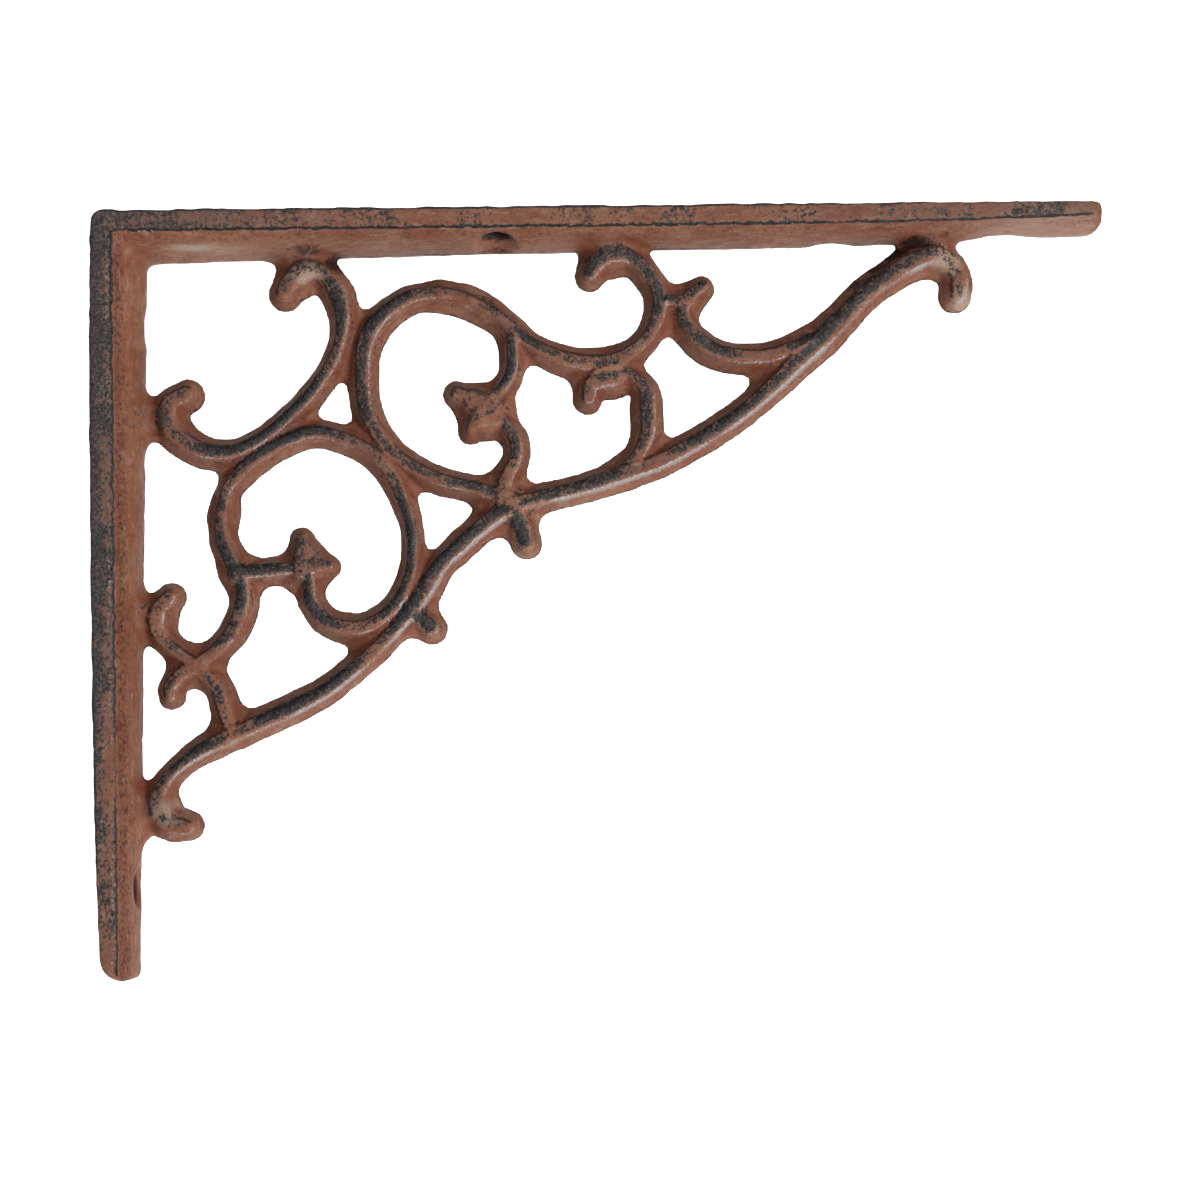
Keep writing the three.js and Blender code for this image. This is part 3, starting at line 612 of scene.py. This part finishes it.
POCKETS = [  # darker pockets beside the roots: out, down, how far it spreads out and down in mm, how much
    (181, 18.0, 4.5, 3.0, 0.7), (185.5, 14.0, 5.0, 3.0, 0.9), (190, 10.5, 5.5, 3.0, 1.0),
    (195, 8.3, 5.5, 2.2, 1.0), (57, 11.5, 5, 3.5, 1.0), (50, 8.8, 5, 1.8, 0.7),
    (15.5, 48, 2.4, 6, 0.9), (116, 13, 3, 4, 0.6), (61.5, 33, 2.0, 7, 0.6),
]
POLISH_AND_HIGHLIGHTS = [  # pale places, rubbed paint and painted highlights: out, down, how far they spread out and down in mm, and how strong
    (26, 8.4, 18, 1.8, 0.55), (24, 8.3, 10, 1.1, 0.8), (60, 8.4, 60, 3.0, 0.35), (50, 14.5, 6, 4, 0.8),
    (202.5, 12.5, 6, 6, 0.9), (207, 22.5, 6, 5, 0.9), (16, 139.5, 8, 5, 0.6), (228, 6, 30, 9, 0.42),
]


def from_patch(at_out, at_down, reach_out, reach_down):
    """Distance from the middle of a patch, as a share of how far it reaches: 1 is its edge, an ellipse."""
    return np.hypot((far_out - at_out) / reach_out, (far_down - at_down) / reach_down)


print(len(WORN), "worn places,", len(POCKETS), "pockets of grime,", len(POLISH_AND_HIGHLIGHTS), "polished places")

# %% [markdown]
# ## The wear of the scrolls
# The ridges are worn nearly bare, the tops of leaves and crossings only in specks, and the shoulder of a
# ridge that looks down and to the right, towards the lamp, gets a bright line: partly burnish, partly a
# painted highlight. A ridge keeps more paint on the side that faces the lamp and is darker on the side
# that looks away, a painted light and shade. The brace was handled most, so its shoulder has a pale band;
# it lies only on the side that faces the lamp, so it is partly a painted highlight.

# %% Marks on the scrolls
in_scroll = (np.abs(place[:, 1]) < 6.6) & (np.minimum(far_out, far_down) > 6.0)
tops = smooth_step(height, 0.62, 0.88) * in_scroll
on_ridge = tops * smooth_step(off_ridge, 1.55, 0.40)
leaf = smooth_step(np.hypot(far_out - 90, far_down - 46.5), 8, 5)
fall = np.hypot(fall_out, fall_down) + 1e-6
# How far the slope falls down and to the right, towards the low lamp, and so which side of a ridge is lit:
# the marks below use it to paint light and shade.
towards_lamp = (0.62 * fall_out + 0.78 * fall_down) / fall
lit = towards_lamp * smooth_step(off_ridge, 0.15, 0.9) * tops
meeting = smooth_step(flat_sample(np.maximum(relief - highest, 0)), 0.12, 0.5)
ridge_wear_and_shade = np.maximum(on_ridge * (0.74 - 0.30 * leaf) * (1 - 0.35 * meeting), 0.48 * tops)
ridge_wear_and_shade = np.maximum(ridge_wear_and_shade, 0.45 * smooth_step(height, 0.25, 0.70) * in_scroll)
# Less wear on a ridge's lit side and more on its shaded side: painted light and shade, because bare iron is
# dark.
ridge_wear_and_shade = ridge_wear_and_shade - 0.30 * np.clip(lit, 0, 1) + 0.08 * np.clip(-lit, 0, 1)
for at_out, at_down, reach, amount in WORN:
    near = smooth_step(np.hypot(far_out - at_out, far_down - at_down), reach, 0.3 * reach)
    ridge_wear_and_shade = np.maximum(ridge_wear_and_shade + amount * near * tops, 0)


def band(start, full, end, fading):
    """A band beside each ridge: from 0 at start to 1 at full, and from 1 at fading back to 0 at end."""
    return smooth_step(off_ridge, start, full) * smooth_step(off_ridge, end, fading)


# A bright line on the ridge shoulders, strongest where they look down and right, towards the lamp: partly
# burnish, partly painted highlight.
burnish_and_highlight = band(0.62, 0.95, 1.40, 1.10) * tops * (0.25 + 0.75 * smooth_step(towards_lamp, 0.0, 0.7)) * (1 - leaf)
# A pale band on the brace's shoulder that faces the lamp: partly burnish, partly painted highlight.
silver_and_highlight = band(0.65, 1.0, 1.9, 1.2) * smooth_step(towards_lamp, 0.3, 0.8) * flat_sample(on_brace)
silver_and_highlight = silver_and_highlight * smooth_step(height, 0.3, 0.6) * in_scroll
# A short pale streak under the shelf arm, near the corner, is a painted highlight.
silver_and_highlight = np.maximum(silver_and_highlight, smooth_step(from_patch(24, 8.3, 9, 0.9), 1, 0.1))
# A dark band beside the ridge on the side that looks up and left, away from the lamp: painted shade.
averted_shade = band(0.5, 0.95, 1.75, 1.2) * smooth_step(towards_lamp, 0.3, -0.3) * tops
print("%d vertices on ridges" % (on_ridge > 0.5).sum())

# %% [markdown]
# ## The wear of the arms
# On the arms the side faces are worn, most of all at the wall arm's upper half and its outer rim. The
# number inward says how far a place lies inside the line where the side face meets the rib, so it can
# draw lines along it.

# %% Marks on the arms
on_shelf = smooth_step(far_out - far_down, -6, 6)
on_wall = 1 - on_shelf
shelf_wear = 0.60 - 0.17 * smooth_step(far_out, 15, 80) + 0.11 * smooth_step(far_out, 150, 200)
wall_wear = 0.60 - 0.16 * smooth_step(far_down, 95, 130) + 0.08 * smooth_step(far_down, 125, 155)
inward = np.minimum(far_out - along_arm(WALL_EDGE, far_down / WALL_LENGTH),
                    far_down - along_arm(SHELF_EDGE, far_out / SHELF_LENGTH))
rim_wear = 0.22 * smooth_step(-inward, 1.8, 3.6) * smooth_step(far_down, 168, 125)
arm_wear = shelf_wear * on_shelf + (wall_wear + rim_wear) * on_wall
border = inward + 0.95 - 1.35 * on_shelf
print("arms worn %.2f to %.2f" % (arm_wear.min(), arm_wear.max()))

# %% [markdown]
# ## Grime, painted shade and polish
# Grime does the opposite of wear: it stays beside the arms' side faces and thinly over the scrolls. The
# concave places and the listed pockets by the roots are darker too. The screw holes hold grime and painted
# shade. The walls that face up and away from the lamp, the steep sides along the seam, where the two halves
# of the mould met on the middle plane, and the slanted end of the shelf arm's tip get painted shade in the
# same dark colour. Paint gathers in the hollows. Where the paint is polished it is pale, and on the shelf
# arm's rib some pale places are painted highlights.

# %% Marks for grime, painted shade, hollows, polish and painted highlights
hollow = smooth_step(-bulge(1.8), 0.05, 1.1)
hollow = np.maximum(hollow, 0.5 * smooth_step(inward, 0.0, 0.5) * smooth_step(inward, 3.0, 0.8) * on_wall)
grime_and_shade = 0.55 * smooth_step(-bulge(3.2), 0.9, 2.0)
# Darker on the steep sides along the seam, which draws dark outlines round the bars: painted shade.
seam_outline_shade = smooth_step(np.abs(place[:, 1]), 1.1, 0.3) * smooth_step(fall, 0.9, 1.6)
for values in (0.7 * seam_outline_shade, 0.80 * averted_shade, 0.16 * in_scroll):
    grime_and_shade = np.maximum(grime_and_shade, values)
beside = smooth_step(inward, 0.0, 0.8) * smooth_step(inward, 4.5, 1.2) * (np.abs(place[:, 1]) > 6)
grime_and_shade = np.maximum(grime_and_shade, (0.46 - 0.16 * on_shelf) * beside)
# The screw holes are darkened: grime and painted shade.
for screws, along, depth in ((SHELF_SCREWS, far_out, far_down), (WALL_SCREWS, far_down, far_out)):
    for at, offset in screws:
        from_axis = np.hypot(along - at, place[:, 1] - offset)
        grime_and_shade = np.maximum(grime_and_shade, smooth_step(from_axis, 4.4, 3.2) * (depth < 14))
for *patch, amount in POCKETS:
    grime_and_shade = np.maximum(grime_and_shade, amount * smooth_step(from_patch(*patch), 1, 0.3))
# The slanted end face of the shelf arm's tip is darkened: a painted shade, and polish stays off it.
shaded_tip_end = smooth_step(far_out - 235.2 - 0.6 * far_down, 0, 0.8)
grime_and_shade = np.maximum(grime_and_shade, 0.30 * shaded_tip_end)
# Pale places are partly rubbed paint; on the shelf arm's rib near the corner and near the tip they are a
# painted highlight.
polish_and_highlight = np.zeros(len(place))
for *patch, amount in POLISH_AND_HIGHLIGHTS:
    polish_and_highlight = np.maximum(polish_and_highlight, amount * smooth_step(from_patch(*patch), 1, 0.2) * (1 - shaded_tip_end))

MARKS = {
    "ridge_wear_and_shade": ridge_wear_and_shade, "burnish_and_highlight": burnish_and_highlight, "arm_wear": arm_wear, "inward": inward, "hollow": hollow,
    "grime_and_shade": grime_and_shade, "on_shelf": on_shelf, "polish_and_highlight": polish_and_highlight, "silver_and_highlight": silver_and_highlight, "lit": lit, "border": border,
}
for name, values in MARKS.items():
    layer = thinned.attributes.new(name, "FLOAT", "POINT")
    layer.data.foreach_set("value", values.astype(np.float32))
    print("%s: %.2f to %.2f, mean %.3f" % (name, values.min(), values.max(), values.mean()))


# %% [markdown]
# ## Rust brown paint over cast iron
# Cast iron is nearly black with a faint blue, dull, and dotted with the print of the sand. The paint is a
# flat rust brown. It is thin and even on the sloping walls, broken by dark specks on the tops, and gone
# along the ridges, where the bare metal is polished enough to catch the light. One material holds both
# and mixes them by the marks.

# %% Helpers for materials
def hex_colour(text):
    """An sRGB hex value turned to linear light: each channel over 255, less its toe, to the power 2.4."""
    channels = [int(text[i : i + 2], 16) / 255 for i in (1, 3, 5)]
    return [c / 12.92 if c <= 0.04045 else ((c + 0.055) / 1.055) ** 2.4 for c in channels] + [1.0]


def add_node(kind, settings, inputs, output=0):
    """Adds a node to the finish, sets its properties, sets or links its inputs, and gives back one output."""
    node = tree.nodes.new(kind)
    for name, value in settings.items():
        setattr(node, name, value)
    for name, value in inputs.items():
        if isinstance(value, bpy.types.NodeSocket):
            tree.links.new(value, node.inputs[name])
        else:
            node.inputs[name].default_value = value
    return None if output is None else node.outputs[output]


PAINT = hex_colour("#7f4f39")
PAINT_LIGHT = hex_colour("#91654e")
PAINT_DEEP = hex_colour("#5e2c1f")
PAINT_DUSTY = hex_colour("#a38b79")
PAINT_RED = hex_colour("#763f2e")
# Near black brown, for grime and for painted shade
GRIME_AND_SHADE = hex_colour("#241511")
IRON = hex_colour("#343030")
IRON_BLACK = hex_colour("#191413")
IRON_GREY = hex_colour("#5c5452")
# Pale and near white iron, for burnish and for painted highlights and glints
IRON_PALE_AND_HIGHLIGHT = hex_colour("#98918d")
IRON_GLINT_HIGHLIGHT = hex_colour("#b9bbc0")
PER_METRE = 1000.0
NOISE, RANGE, MATH, MIX = "ShaderNodeTexNoise", "ShaderNodeMapRange", "ShaderNodeMath", "ShaderNodeMix"
SMOOTH = {"interpolation_type": "SMOOTHSTEP"}
COLOUR = {"data_type": "RGBA"}
ADD, MULTIPLY, MULTIPLY_ADD, MAXIMUM, ABSOLUTE = (
    {"operation": name} for name in ("ADD", "MULTIPLY", "MULTIPLY_ADD", "MAXIMUM", "ABSOLUTE"))

finish = bpy.data.materials.new("rust_brown_paint_over_cast_iron")
finish.use_nodes = True
tree = finish.node_tree
tree.nodes.clear()
spot = add_node("ShaderNodeTexCoord", {}, {}, "Object")
mark = {name: add_node("ShaderNodeAttribute", {"attribute_name": name}, {}, "Fac") for name in MARKS}
GRAINS = {  # size in mm, detail and roughness of each plain noise
    "grain": (0.5, 2.0, 0.6), "flecks": (0.9, 4.0, 0.7), "ragged": (1.6, 3.0, 0.5),
    "stretches": (12, 3.0, 0.5), "bunches": (2.4, 2.0, 0.5), "shade": (0.6, 3.0, 0.7),
    "scratch": (0.55, 2.0, 0.6), "gaps": (14, 1.0, 0.5), "fine": (0.7, 4.0, 0.6), "wide": (2.6, 2.0, 0.5),
}
noise = {}
for name, (size, detail, rough) in GRAINS.items():
    inputs = {"Vector": spot, "Scale": PER_METRE / size, "Detail": detail, "Roughness": rough}
    noise[name] = add_node(NOISE, {}, inputs)
print("colours in linear light, paint:", [round(c, 3) for c in PAINT[:3]])

# %% [markdown]
# ## Clouds, strokes and grain in the paint
# Brushed on and rubbed down paint is never one colour. It is lighter and darker in clouds of about 12 mm
# and mottled every 2 mm, streaked by the brush along each arm, and grainy from the sand under it. It is
# deeper and redder in the hollows where it gathers, and dusty pale in patches.

# %% The paint's colour
LAYERS = [  # grain in mm, detail, roughness, where it starts and is full, how strong, and its colour
    (12, 3.0, 0.5, 0.34, 0.68, 0.7, PAINT_LIGHT),
    (2.4, 4.0, 0.6, 0.48, 0.72, 0.40, PAINT_DEEP),
    (5.0, 5.0, 0.7, 0.54, 0.74, 0.50, PAINT_DUSTY),
]
paint = PAINT
for size, detail, rough, low, high, most, tint in LAYERS:
    inputs = {"Vector": spot, "Scale": PER_METRE / size, "Detail": detail, "Roughness": rough}
    amount = {"Value": add_node(NOISE, {}, inputs), "From Min": low, "From Max": high, "To Max": most}
    paint = add_node(MIX, COLOUR, {0: add_node(RANGE, SMOOTH, amount), 6: paint, 7: tint}, 2)
brushed = []
for stretch in ((1.0, 1.0, 0.22), (0.22, 1.0, 1.0)):
    along = add_node("ShaderNodeMapping", {}, {"Vector": spot, "Scale": stretch})
    inputs = {"Vector": along, "Scale": PER_METRE / 1.1, "Detail": 3.0, "Roughness": 0.6}
    brushed.append(add_node(NOISE, {}, inputs))
strokes = add_node(MIX, {}, {0: mark["on_shelf"], 2: brushed[0], 3: brushed[1]})
patches = add_node(MATH, MULTIPLY_ADD, {0: strokes, 1: 0.9, 2: -0.45})
patches = add_node(MATH, MULTIPLY_ADD, {0: mark["polish_and_highlight"], 1: 0.8, 2: patches})
for source, low, high, most, tint in ((strokes, 0.52, 0.72, 0.50, PAINT_DEEP),
                                      (strokes, 0.46, 0.28, 0.35, PAINT_DUSTY),
                                      (noise["grain"], 0.50, 0.72, 0.42, PAINT_DEEP),
                                      (patches, 0.05, 0.75, 0.85, PAINT_DUSTY)):
    amount = {"Value": source, "From Min": low, "From Max": high, "To Max": most}
    paint = add_node(MIX, COLOUR, {0: add_node(RANGE, SMOOTH, amount), 6: paint, 7: tint}, 2)
gathered = add_node(MATH, MULTIPLY, {0: mark["hollow"], 1: 0.85})
paint = add_node(MIX, COLOUR, {0: gathered, 6: paint, 7: PAINT_RED}, 2)
print(len(tree.nodes), "nodes for the paint")

# %% [markdown]
# ## Grime and painted shade over the paint
# Grime and painted shade lie in specks, close together where the mark is high. The mark is added to a
# noise, and what comes out high is dark. A plain mix by the mark would look like a brown mist.

# %% The grime and painted shade
lying = add_node(MATH, MULTIPLY_ADD, {0: mark["grime_and_shade"], 1: 0.5, 2: noise["flecks"]})
lying = add_node(RANGE, SMOOTH, {"Value": lying, "From Min": 0.60, "From Max": 0.95, "To Max": 0.92})
paint = add_node(MIX, COLOUR, {0: lying, 6: paint, 7: GRIME_AND_SHADE}, 2)
print(len(tree.nodes), "nodes with the grime")

# %% [markdown]
# ## How worn each place is
# The scrolls carry their wear as a mark. On the arms the side faces are found from how far a place lies
# from the middle plane. A rough dark line runs where the side face meets the rib, fainter where the wall
# arm is little worn, and another along the outer rim. The greatest of all these is the wear.

# %% The wear, from 0 to 1
apart = add_node("ShaderNodeSeparateXYZ", {}, {"Vector": spot}, "Y")
apart = add_node(MATH, ABSOLUTE, {0: apart})
SIDE_BEGINS, SIDE_FULL = 0.0101, 0.0107  # metres from the middle plane
side = add_node(RANGE, SMOOTH, {"Value": apart, "From Min": SIDE_BEGINS, "From Max": SIDE_FULL})
ragged = add_node(MATH, {"operation": "SUBTRACT"}, {0: noise["ragged"], 1: 0.5})
inner = add_node(MATH, MULTIPLY_ADD, {0: ragged, 1: 1.5, 2: mark["inward"]})
before = add_node(RANGE, SMOOTH, {"Value": inner, "From Min": 0.8, "From Max": 0.2})
arm_worn = add_node(MATH, MULTIPLY, {0: mark["arm_wear"], 1: side})
arm_worn = add_node(MATH, MULTIPLY, {0: arm_worn, 1: before})
from_line = add_node(MATH, ABSOLUTE, {0: inner})
line = add_node(RANGE, SMOOTH, {"Value": from_line, "From Min": 0.75, "From Max": 0.1})
line = add_node(MATH, MULTIPLY, {0: line, 1: side})
fading = {"Value": mark["arm_wear"], "From Min": 0.42, "From Max": 0.54, "To Min": 0.45}
fading = add_node(RANGE, SMOOTH, fading)
fading = add_node(MATH, MAXIMUM, {0: fading, 1: mark["on_shelf"]})
line = add_node(MATH, MULTIPLY, {0: line, 1: fading})
rim = add_node(RANGE, SMOOTH, {"Value": mark["inward"], "From Min": -3.7, "From Max": -4.6, "To Max": 1.0})
rim = add_node(MATH, MULTIPLY, {0: rim, 1: side})
worn = arm_worn
for other in (line, rim, mark["ridge_wear_and_shade"]):
    worn = add_node(MATH, MAXIMUM, {0: worn, 1: other})
print(len(tree.nodes), "nodes with the wear")

# %% [markdown]
# ## Breaking the wear into specks
# Noise with a grain of about half a millimetre is compared with the wear: where much is worn nearly every
# speck is bare, and where little is worn only a few are. Slower noises bunch the specks and make some
# stretches more worn. Paint that is left between specks is thin and greyer. The middle of the rough line
# is drawn again on top, as a black thread.

# %% Bare iron, speck by speck
stretches = {"Value": noise["stretches"], "From Min": 0.34, "From Max": 0.64, "To Min": -0.15, "To Max": 0.08}
stretches = add_node(RANGE, {}, stretches)
specks = add_node(NOISE, {}, {"Vector": spot, "Scale": PER_METRE / 0.75, "Detail": 3.0,
                              "Roughness": 0.65, "Distortion": 0.3})
specks = add_node(MATH, MULTIPLY_ADD, {0: noise["bunches"], 1: 0.32, 2: specks})
chance = add_node(MATH, MULTIPLY_ADD, {0: worn, 1: 0.80, 2: -0.595})
chance = add_node(MATH, ADD, {0: chance, 1: stretches})
chance = add_node(MATH, ADD, {0: chance, 1: specks})
chance = add_node(RANGE, SMOOTH, {"Value": chance, "From Min": 0.44, "From Max": 0.58})
painted_only = add_node(RANGE, SMOOTH, {"Value": worn, "From Min": 0.04, "From Max": 0.2})
bare = add_node(MATH, MULTIPLY, {0: chance, 1: painted_only})
# The bare iron is paler on the side of a ridge that faces the lamp and blacker on the side that looks away:
# painted light and shade.
shade = add_node(MATH, MULTIPLY_ADD, {0: mark["lit"], 1: 0.16, 2: noise["shade"]})
shade = add_node(MATH, MULTIPLY_ADD, {0: arm_worn, 1: 0.09, 2: shade})
deep = add_node(RANGE, SMOOTH, {"Value": shade, "From Min": 0.50, "From Max": 0.35})
iron_colour = add_node(MIX, COLOUR, {0: deep, 6: IRON, 7: IRON_BLACK}, 2)
shade = add_node(RANGE, SMOOTH, {"Value": shade, "From Min": 0.50, "From Max": 0.74})
iron_colour = add_node(MIX, COLOUR, {0: shade, 6: iron_colour, 7: IRON_GREY}, 2)
thin_paint = add_node(RANGE, SMOOTH, {"Value": worn, "From Min": 0.30, "From Max": 0.75, "To Max": 0.45})
thin_side = add_node(RANGE, SMOOTH, {"Value": arm_worn, "From Min": 0.45, "From Max": 0.62, "To Max": 0.50})
thin_paint = add_node(MATH, MAXIMUM, {0: thin_paint, 1: thin_side})
paint = add_node(MIX, COLOUR, {0: thin_paint, 6: paint, 7: IRON_GREY}, 2)
colour = add_node(MIX, COLOUR, {0: bare, 6: paint, 7: iron_colour}, 2)
thread = add_node(RANGE, SMOOTH, {"Value": from_line, "From Min": 0.50, "From Max": 0.05, "To Max": 0.8})
thread = add_node(MATH, MULTIPLY, {0: thread, 1: line})
colour = add_node(MIX, COLOUR, {0: thread, 6: colour, 7: IRON_BLACK}, 2)
print(len(tree.nodes), "nodes with the bare iron")

# %% [markdown]
# ## Bright metal on the shoulders
# Where a hand slides along a ridge the iron is burnished, and the shoulders that look towards the lamp
# carry a near white painted highlight on top of that. It shows as a thin scratchy line, so the mark is
# broken up by a noise finer than the specks. Painted glints lie along the arms' inner border too, and here
# and there on bare iron. A paler grey marks the brace's lit shoulder and a short streak under the shelf
# arm, partly burnish and partly painted highlight.

# %% Burnished lines, glints and painted highlights
border = add_node(MATH, MULTIPLY_ADD, {0: ragged, 1: 1.6, 2: mark["border"]})
border = add_node(MATH, ABSOLUTE, {0: border})
border = add_node(RANGE, SMOOTH, {"Value": border, "From Min": 0.45, "From Max": 0.1, "To Max": 0.72})
border = add_node(MATH, MULTIPLY, {0: border, 1: side})
shining = add_node(MATH, MAXIMUM, {0: mark["burnish_and_highlight"], 1: border})
glints = add_node(MATH, MULTIPLY, {0: bare, 1: 0.30})
shining = add_node(MATH, MAXIMUM, {0: shining, 1: glints})
burnish_and_glint_highlight = add_node(MATH, MULTIPLY_ADD, {0: shining, 1: 0.50, 2: noise["scratch"]})
burnish_and_glint_highlight = add_node(RANGE, SMOOTH, {"Value": burnish_and_glint_highlight, "From Min": 0.86, "From Max": 1.12, "To Max": 0.75})
long_gaps = {"Value": noise["gaps"], "From Min": 0.38, "From Max": 0.56, "To Min": 0.2}
long_gaps = add_node(RANGE, SMOOTH, long_gaps)
burnish_and_glint_highlight = add_node(MATH, MULTIPLY, {0: burnish_and_glint_highlight, 1: long_gaps})
silver_gaps = add_node(MATH, MULTIPLY_ADD, {0: long_gaps, 1: 0.55, 2: 0.45})
pale = add_node(MATH, MULTIPLY, {0: mark["silver_and_highlight"], 1: silver_gaps})
pale = add_node(MATH, MULTIPLY_ADD, {0: pale, 1: 0.62, 2: noise["scratch"]})
pale = add_node(RANGE, SMOOTH, {"Value": pale, "From Min": 0.75, "From Max": 1.12, "To Max": 0.8})
colour = add_node(MIX, COLOUR, {0: pale, 6: colour, 7: IRON_PALE_AND_HIGHLIGHT}, 2)
colour = add_node(MIX, COLOUR, {0: burnish_and_glint_highlight, 6: colour, 7: IRON_GLINT_HIGHLIGHT}, 2)
print(len(tree.nodes), "nodes with the glints")

# %% [markdown]
# ## The feel of the surface
# The sand leaves a print of about 0.7 mm, strongest where the paint is gone, and the paint has a
# thickness that shows at the edge of each speck. Paint is dull and rough, and rubbed iron less so.

# %% Bumps, gloss and the shader
print_both = add_node(MATH, MULTIPLY_ADD, {0: noise["fine"], 1: 0.5, 2: noise["wide"]})
depth = add_node(RANGE, {}, {"Value": worn, "From Min": 0.1, "From Max": 0.7, "To Min": 0.45, "To Max": 0.85})
bump = add_node("ShaderNodeBump", {}, {"Height": print_both, "Strength": depth, "Distance": 0.0005})
bump = add_node("ShaderNodeBump", {"invert": True}, {"Height": bare, "Strength": 0.35,
                                                     "Distance": 0.00015, "Normal": bump})
rough = add_node(RANGE, {}, {"Value": bare, "To Min": 0.66, "To Max": 0.46})
metal = add_node(MATH, MULTIPLY_ADD, {0: bare, 1: 0.2, 2: burnish_and_glint_highlight})
metal = add_node(MATH, {"operation": "MINIMUM"}, {0: metal, 1: 0.6})
surface = add_node("ShaderNodeBsdfPrincipled", {}, {
    "Base Color": colour, "Roughness": rough, "Metallic": metal, "Specular IOR Level": 0.25, "Normal": bump})
add_node("ShaderNodeOutputMaterial", {}, {"Surface": surface}, None)
print(len(tree.nodes), "nodes in the finish")

# %% [markdown]
# ## One piece for one node
# The piece rides with the root body and replaces the whole casting, so that nothing is shown twice.

# %% Hand the casting over
thinned.materials.append(finish)
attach(bracket, "root")
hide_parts("bracket_casting")
print("one piece:", bracket.name)

# %% [markdown]
# ## The studio
# The bracket hangs in front of a white sweep: a floor that curves up into a backdrop. It is lit softly
# from low in front and from the right, which is why the walls that look down and to the right are the
# bright ones. The finish paints some of this light as well: highlights on the shoulders that face this
# lamp, and shade on the sides that look away.

# %% The sweep
turn = np.linspace(0, np.pi / 2, 13)
profile = np.stack([0.55 + 0.35 * np.sin(turn), -0.07 - 0.35 * np.cos(turn)], 1)
profile = np.concatenate([[[-0.3, -0.42]], profile, [[0.9, 0.7]]])
rows = len(profile)
grid = np.concatenate([np.column_stack([np.full(rows, end), profile]) for end in (-0.55, 0.8)])
faces = [(i, i + rows, i + rows + 1, i + 1) for i in range(rows - 1)]
sweep_mesh = bpy.data.meshes.new("sweep")
sweep_mesh.from_pydata(grid.tolist(), [], faces)
sweep_mesh.polygons.foreach_set("use_smooth", np.ones(len(faces), bool))
sweep = bpy.data.objects.new("sweep", sweep_mesh)
bpy.context.scene.collection.objects.link(sweep)
paper = bpy.data.materials.new("white_paper")
paper.use_nodes = True
paper_shader = paper.node_tree.nodes["Principled BSDF"]
paper_shader.inputs["Base Color"].default_value = hex_colour("#fafafa")
paper_shader.inputs["Roughness"].default_value = 0.9
paper_shader.inputs["Emission Color"].default_value = (1, 1, 1, 1)
paper_shader.inputs["Emission Strength"].default_value = 0.9
sweep_mesh.materials.append(paper)
print("sweep of", len(faces), "faces")


# %% Two soft lights and the white surroundings
def soft_light(name, place, aim, size, watts):
    """A square area light that looks at a point."""
    light = bpy.data.lights.new(name, "AREA")
    light.size = size
    light.energy = watts
    lamp = bpy.data.objects.new(name, light)
    bpy.context.scene.collection.objects.link(lamp)
    lamp.location = place
    lamp.rotation_euler = (Vector(aim) - Vector(place)).to_track_quat("-Z", "Y").to_euler()


MIDDLE = (0.10, 0.0, 0.0)
soft_light("low_right", (1.15, -1.45, -0.27), MIDDLE, 0.5, 27.0)
soft_light("high_front", (-0.10, -0.9, 0.60), MIDDLE, 0.9, 2.2)

world = bpy.data.worlds.new("studio")
bpy.context.scene.world = world
world.use_nodes = True
world.node_tree.nodes["Background"].inputs["Color"].default_value = (1, 1, 1, 1)
world.node_tree.nodes["Background"].inputs["Strength"].default_value = 0.235
bpy.context.scene.view_settings.view_transform = "Standard"

# %% [markdown]
# ## The camera
# The camera stands close to the corner of the bracket, as the photographer did. It is turned a little, so
# its matrix is built from its right, its up and where it looks.

# %% The camera
CAMERA_OUT, CAMERA_BACK, CAMERA_DOWN = 88.4, 474.0, 115.5
YAW, PITCH_UP, ROLL = np.radians([3.483, 2.789, -1.403])
look = Vector((np.sin(YAW) * np.cos(PITCH_UP), np.cos(YAW) * np.cos(PITCH_UP), np.sin(PITCH_UP)))
right = look.cross(Vector((0, 0, 1))).normalized()
up = right.cross(look)
right, up = np.cos(ROLL) * right + np.sin(ROLL) * up, -np.sin(ROLL) * right + np.cos(ROLL) * up
camera_data = bpy.data.cameras.new("camera")
camera_data.sensor_width = 36.0
camera_data.lens = 60.0
camera = bpy.data.objects.new("camera", camera_data)
bpy.context.scene.collection.objects.link(camera)
stand = Vector((CAMERA_OUT, -CAMERA_BACK, WALL_LENGTH / 2 - CAMERA_DOWN)) / 1000
turned = Matrix([[right[i], up[i], -look[i], 0] for i in range(3)] + [[0, 0, 0, 1]])
camera.matrix_world = Matrix.Translation(stand) @ turned
bpy.context.scene.camera = camera
print("camera", CAMERA_BACK, "mm in front of the middle plane")

# %% [markdown]
# ## The last update
# The view layer is brought up to date once more.

# %% Finish
bpy.context.view_layer.update()
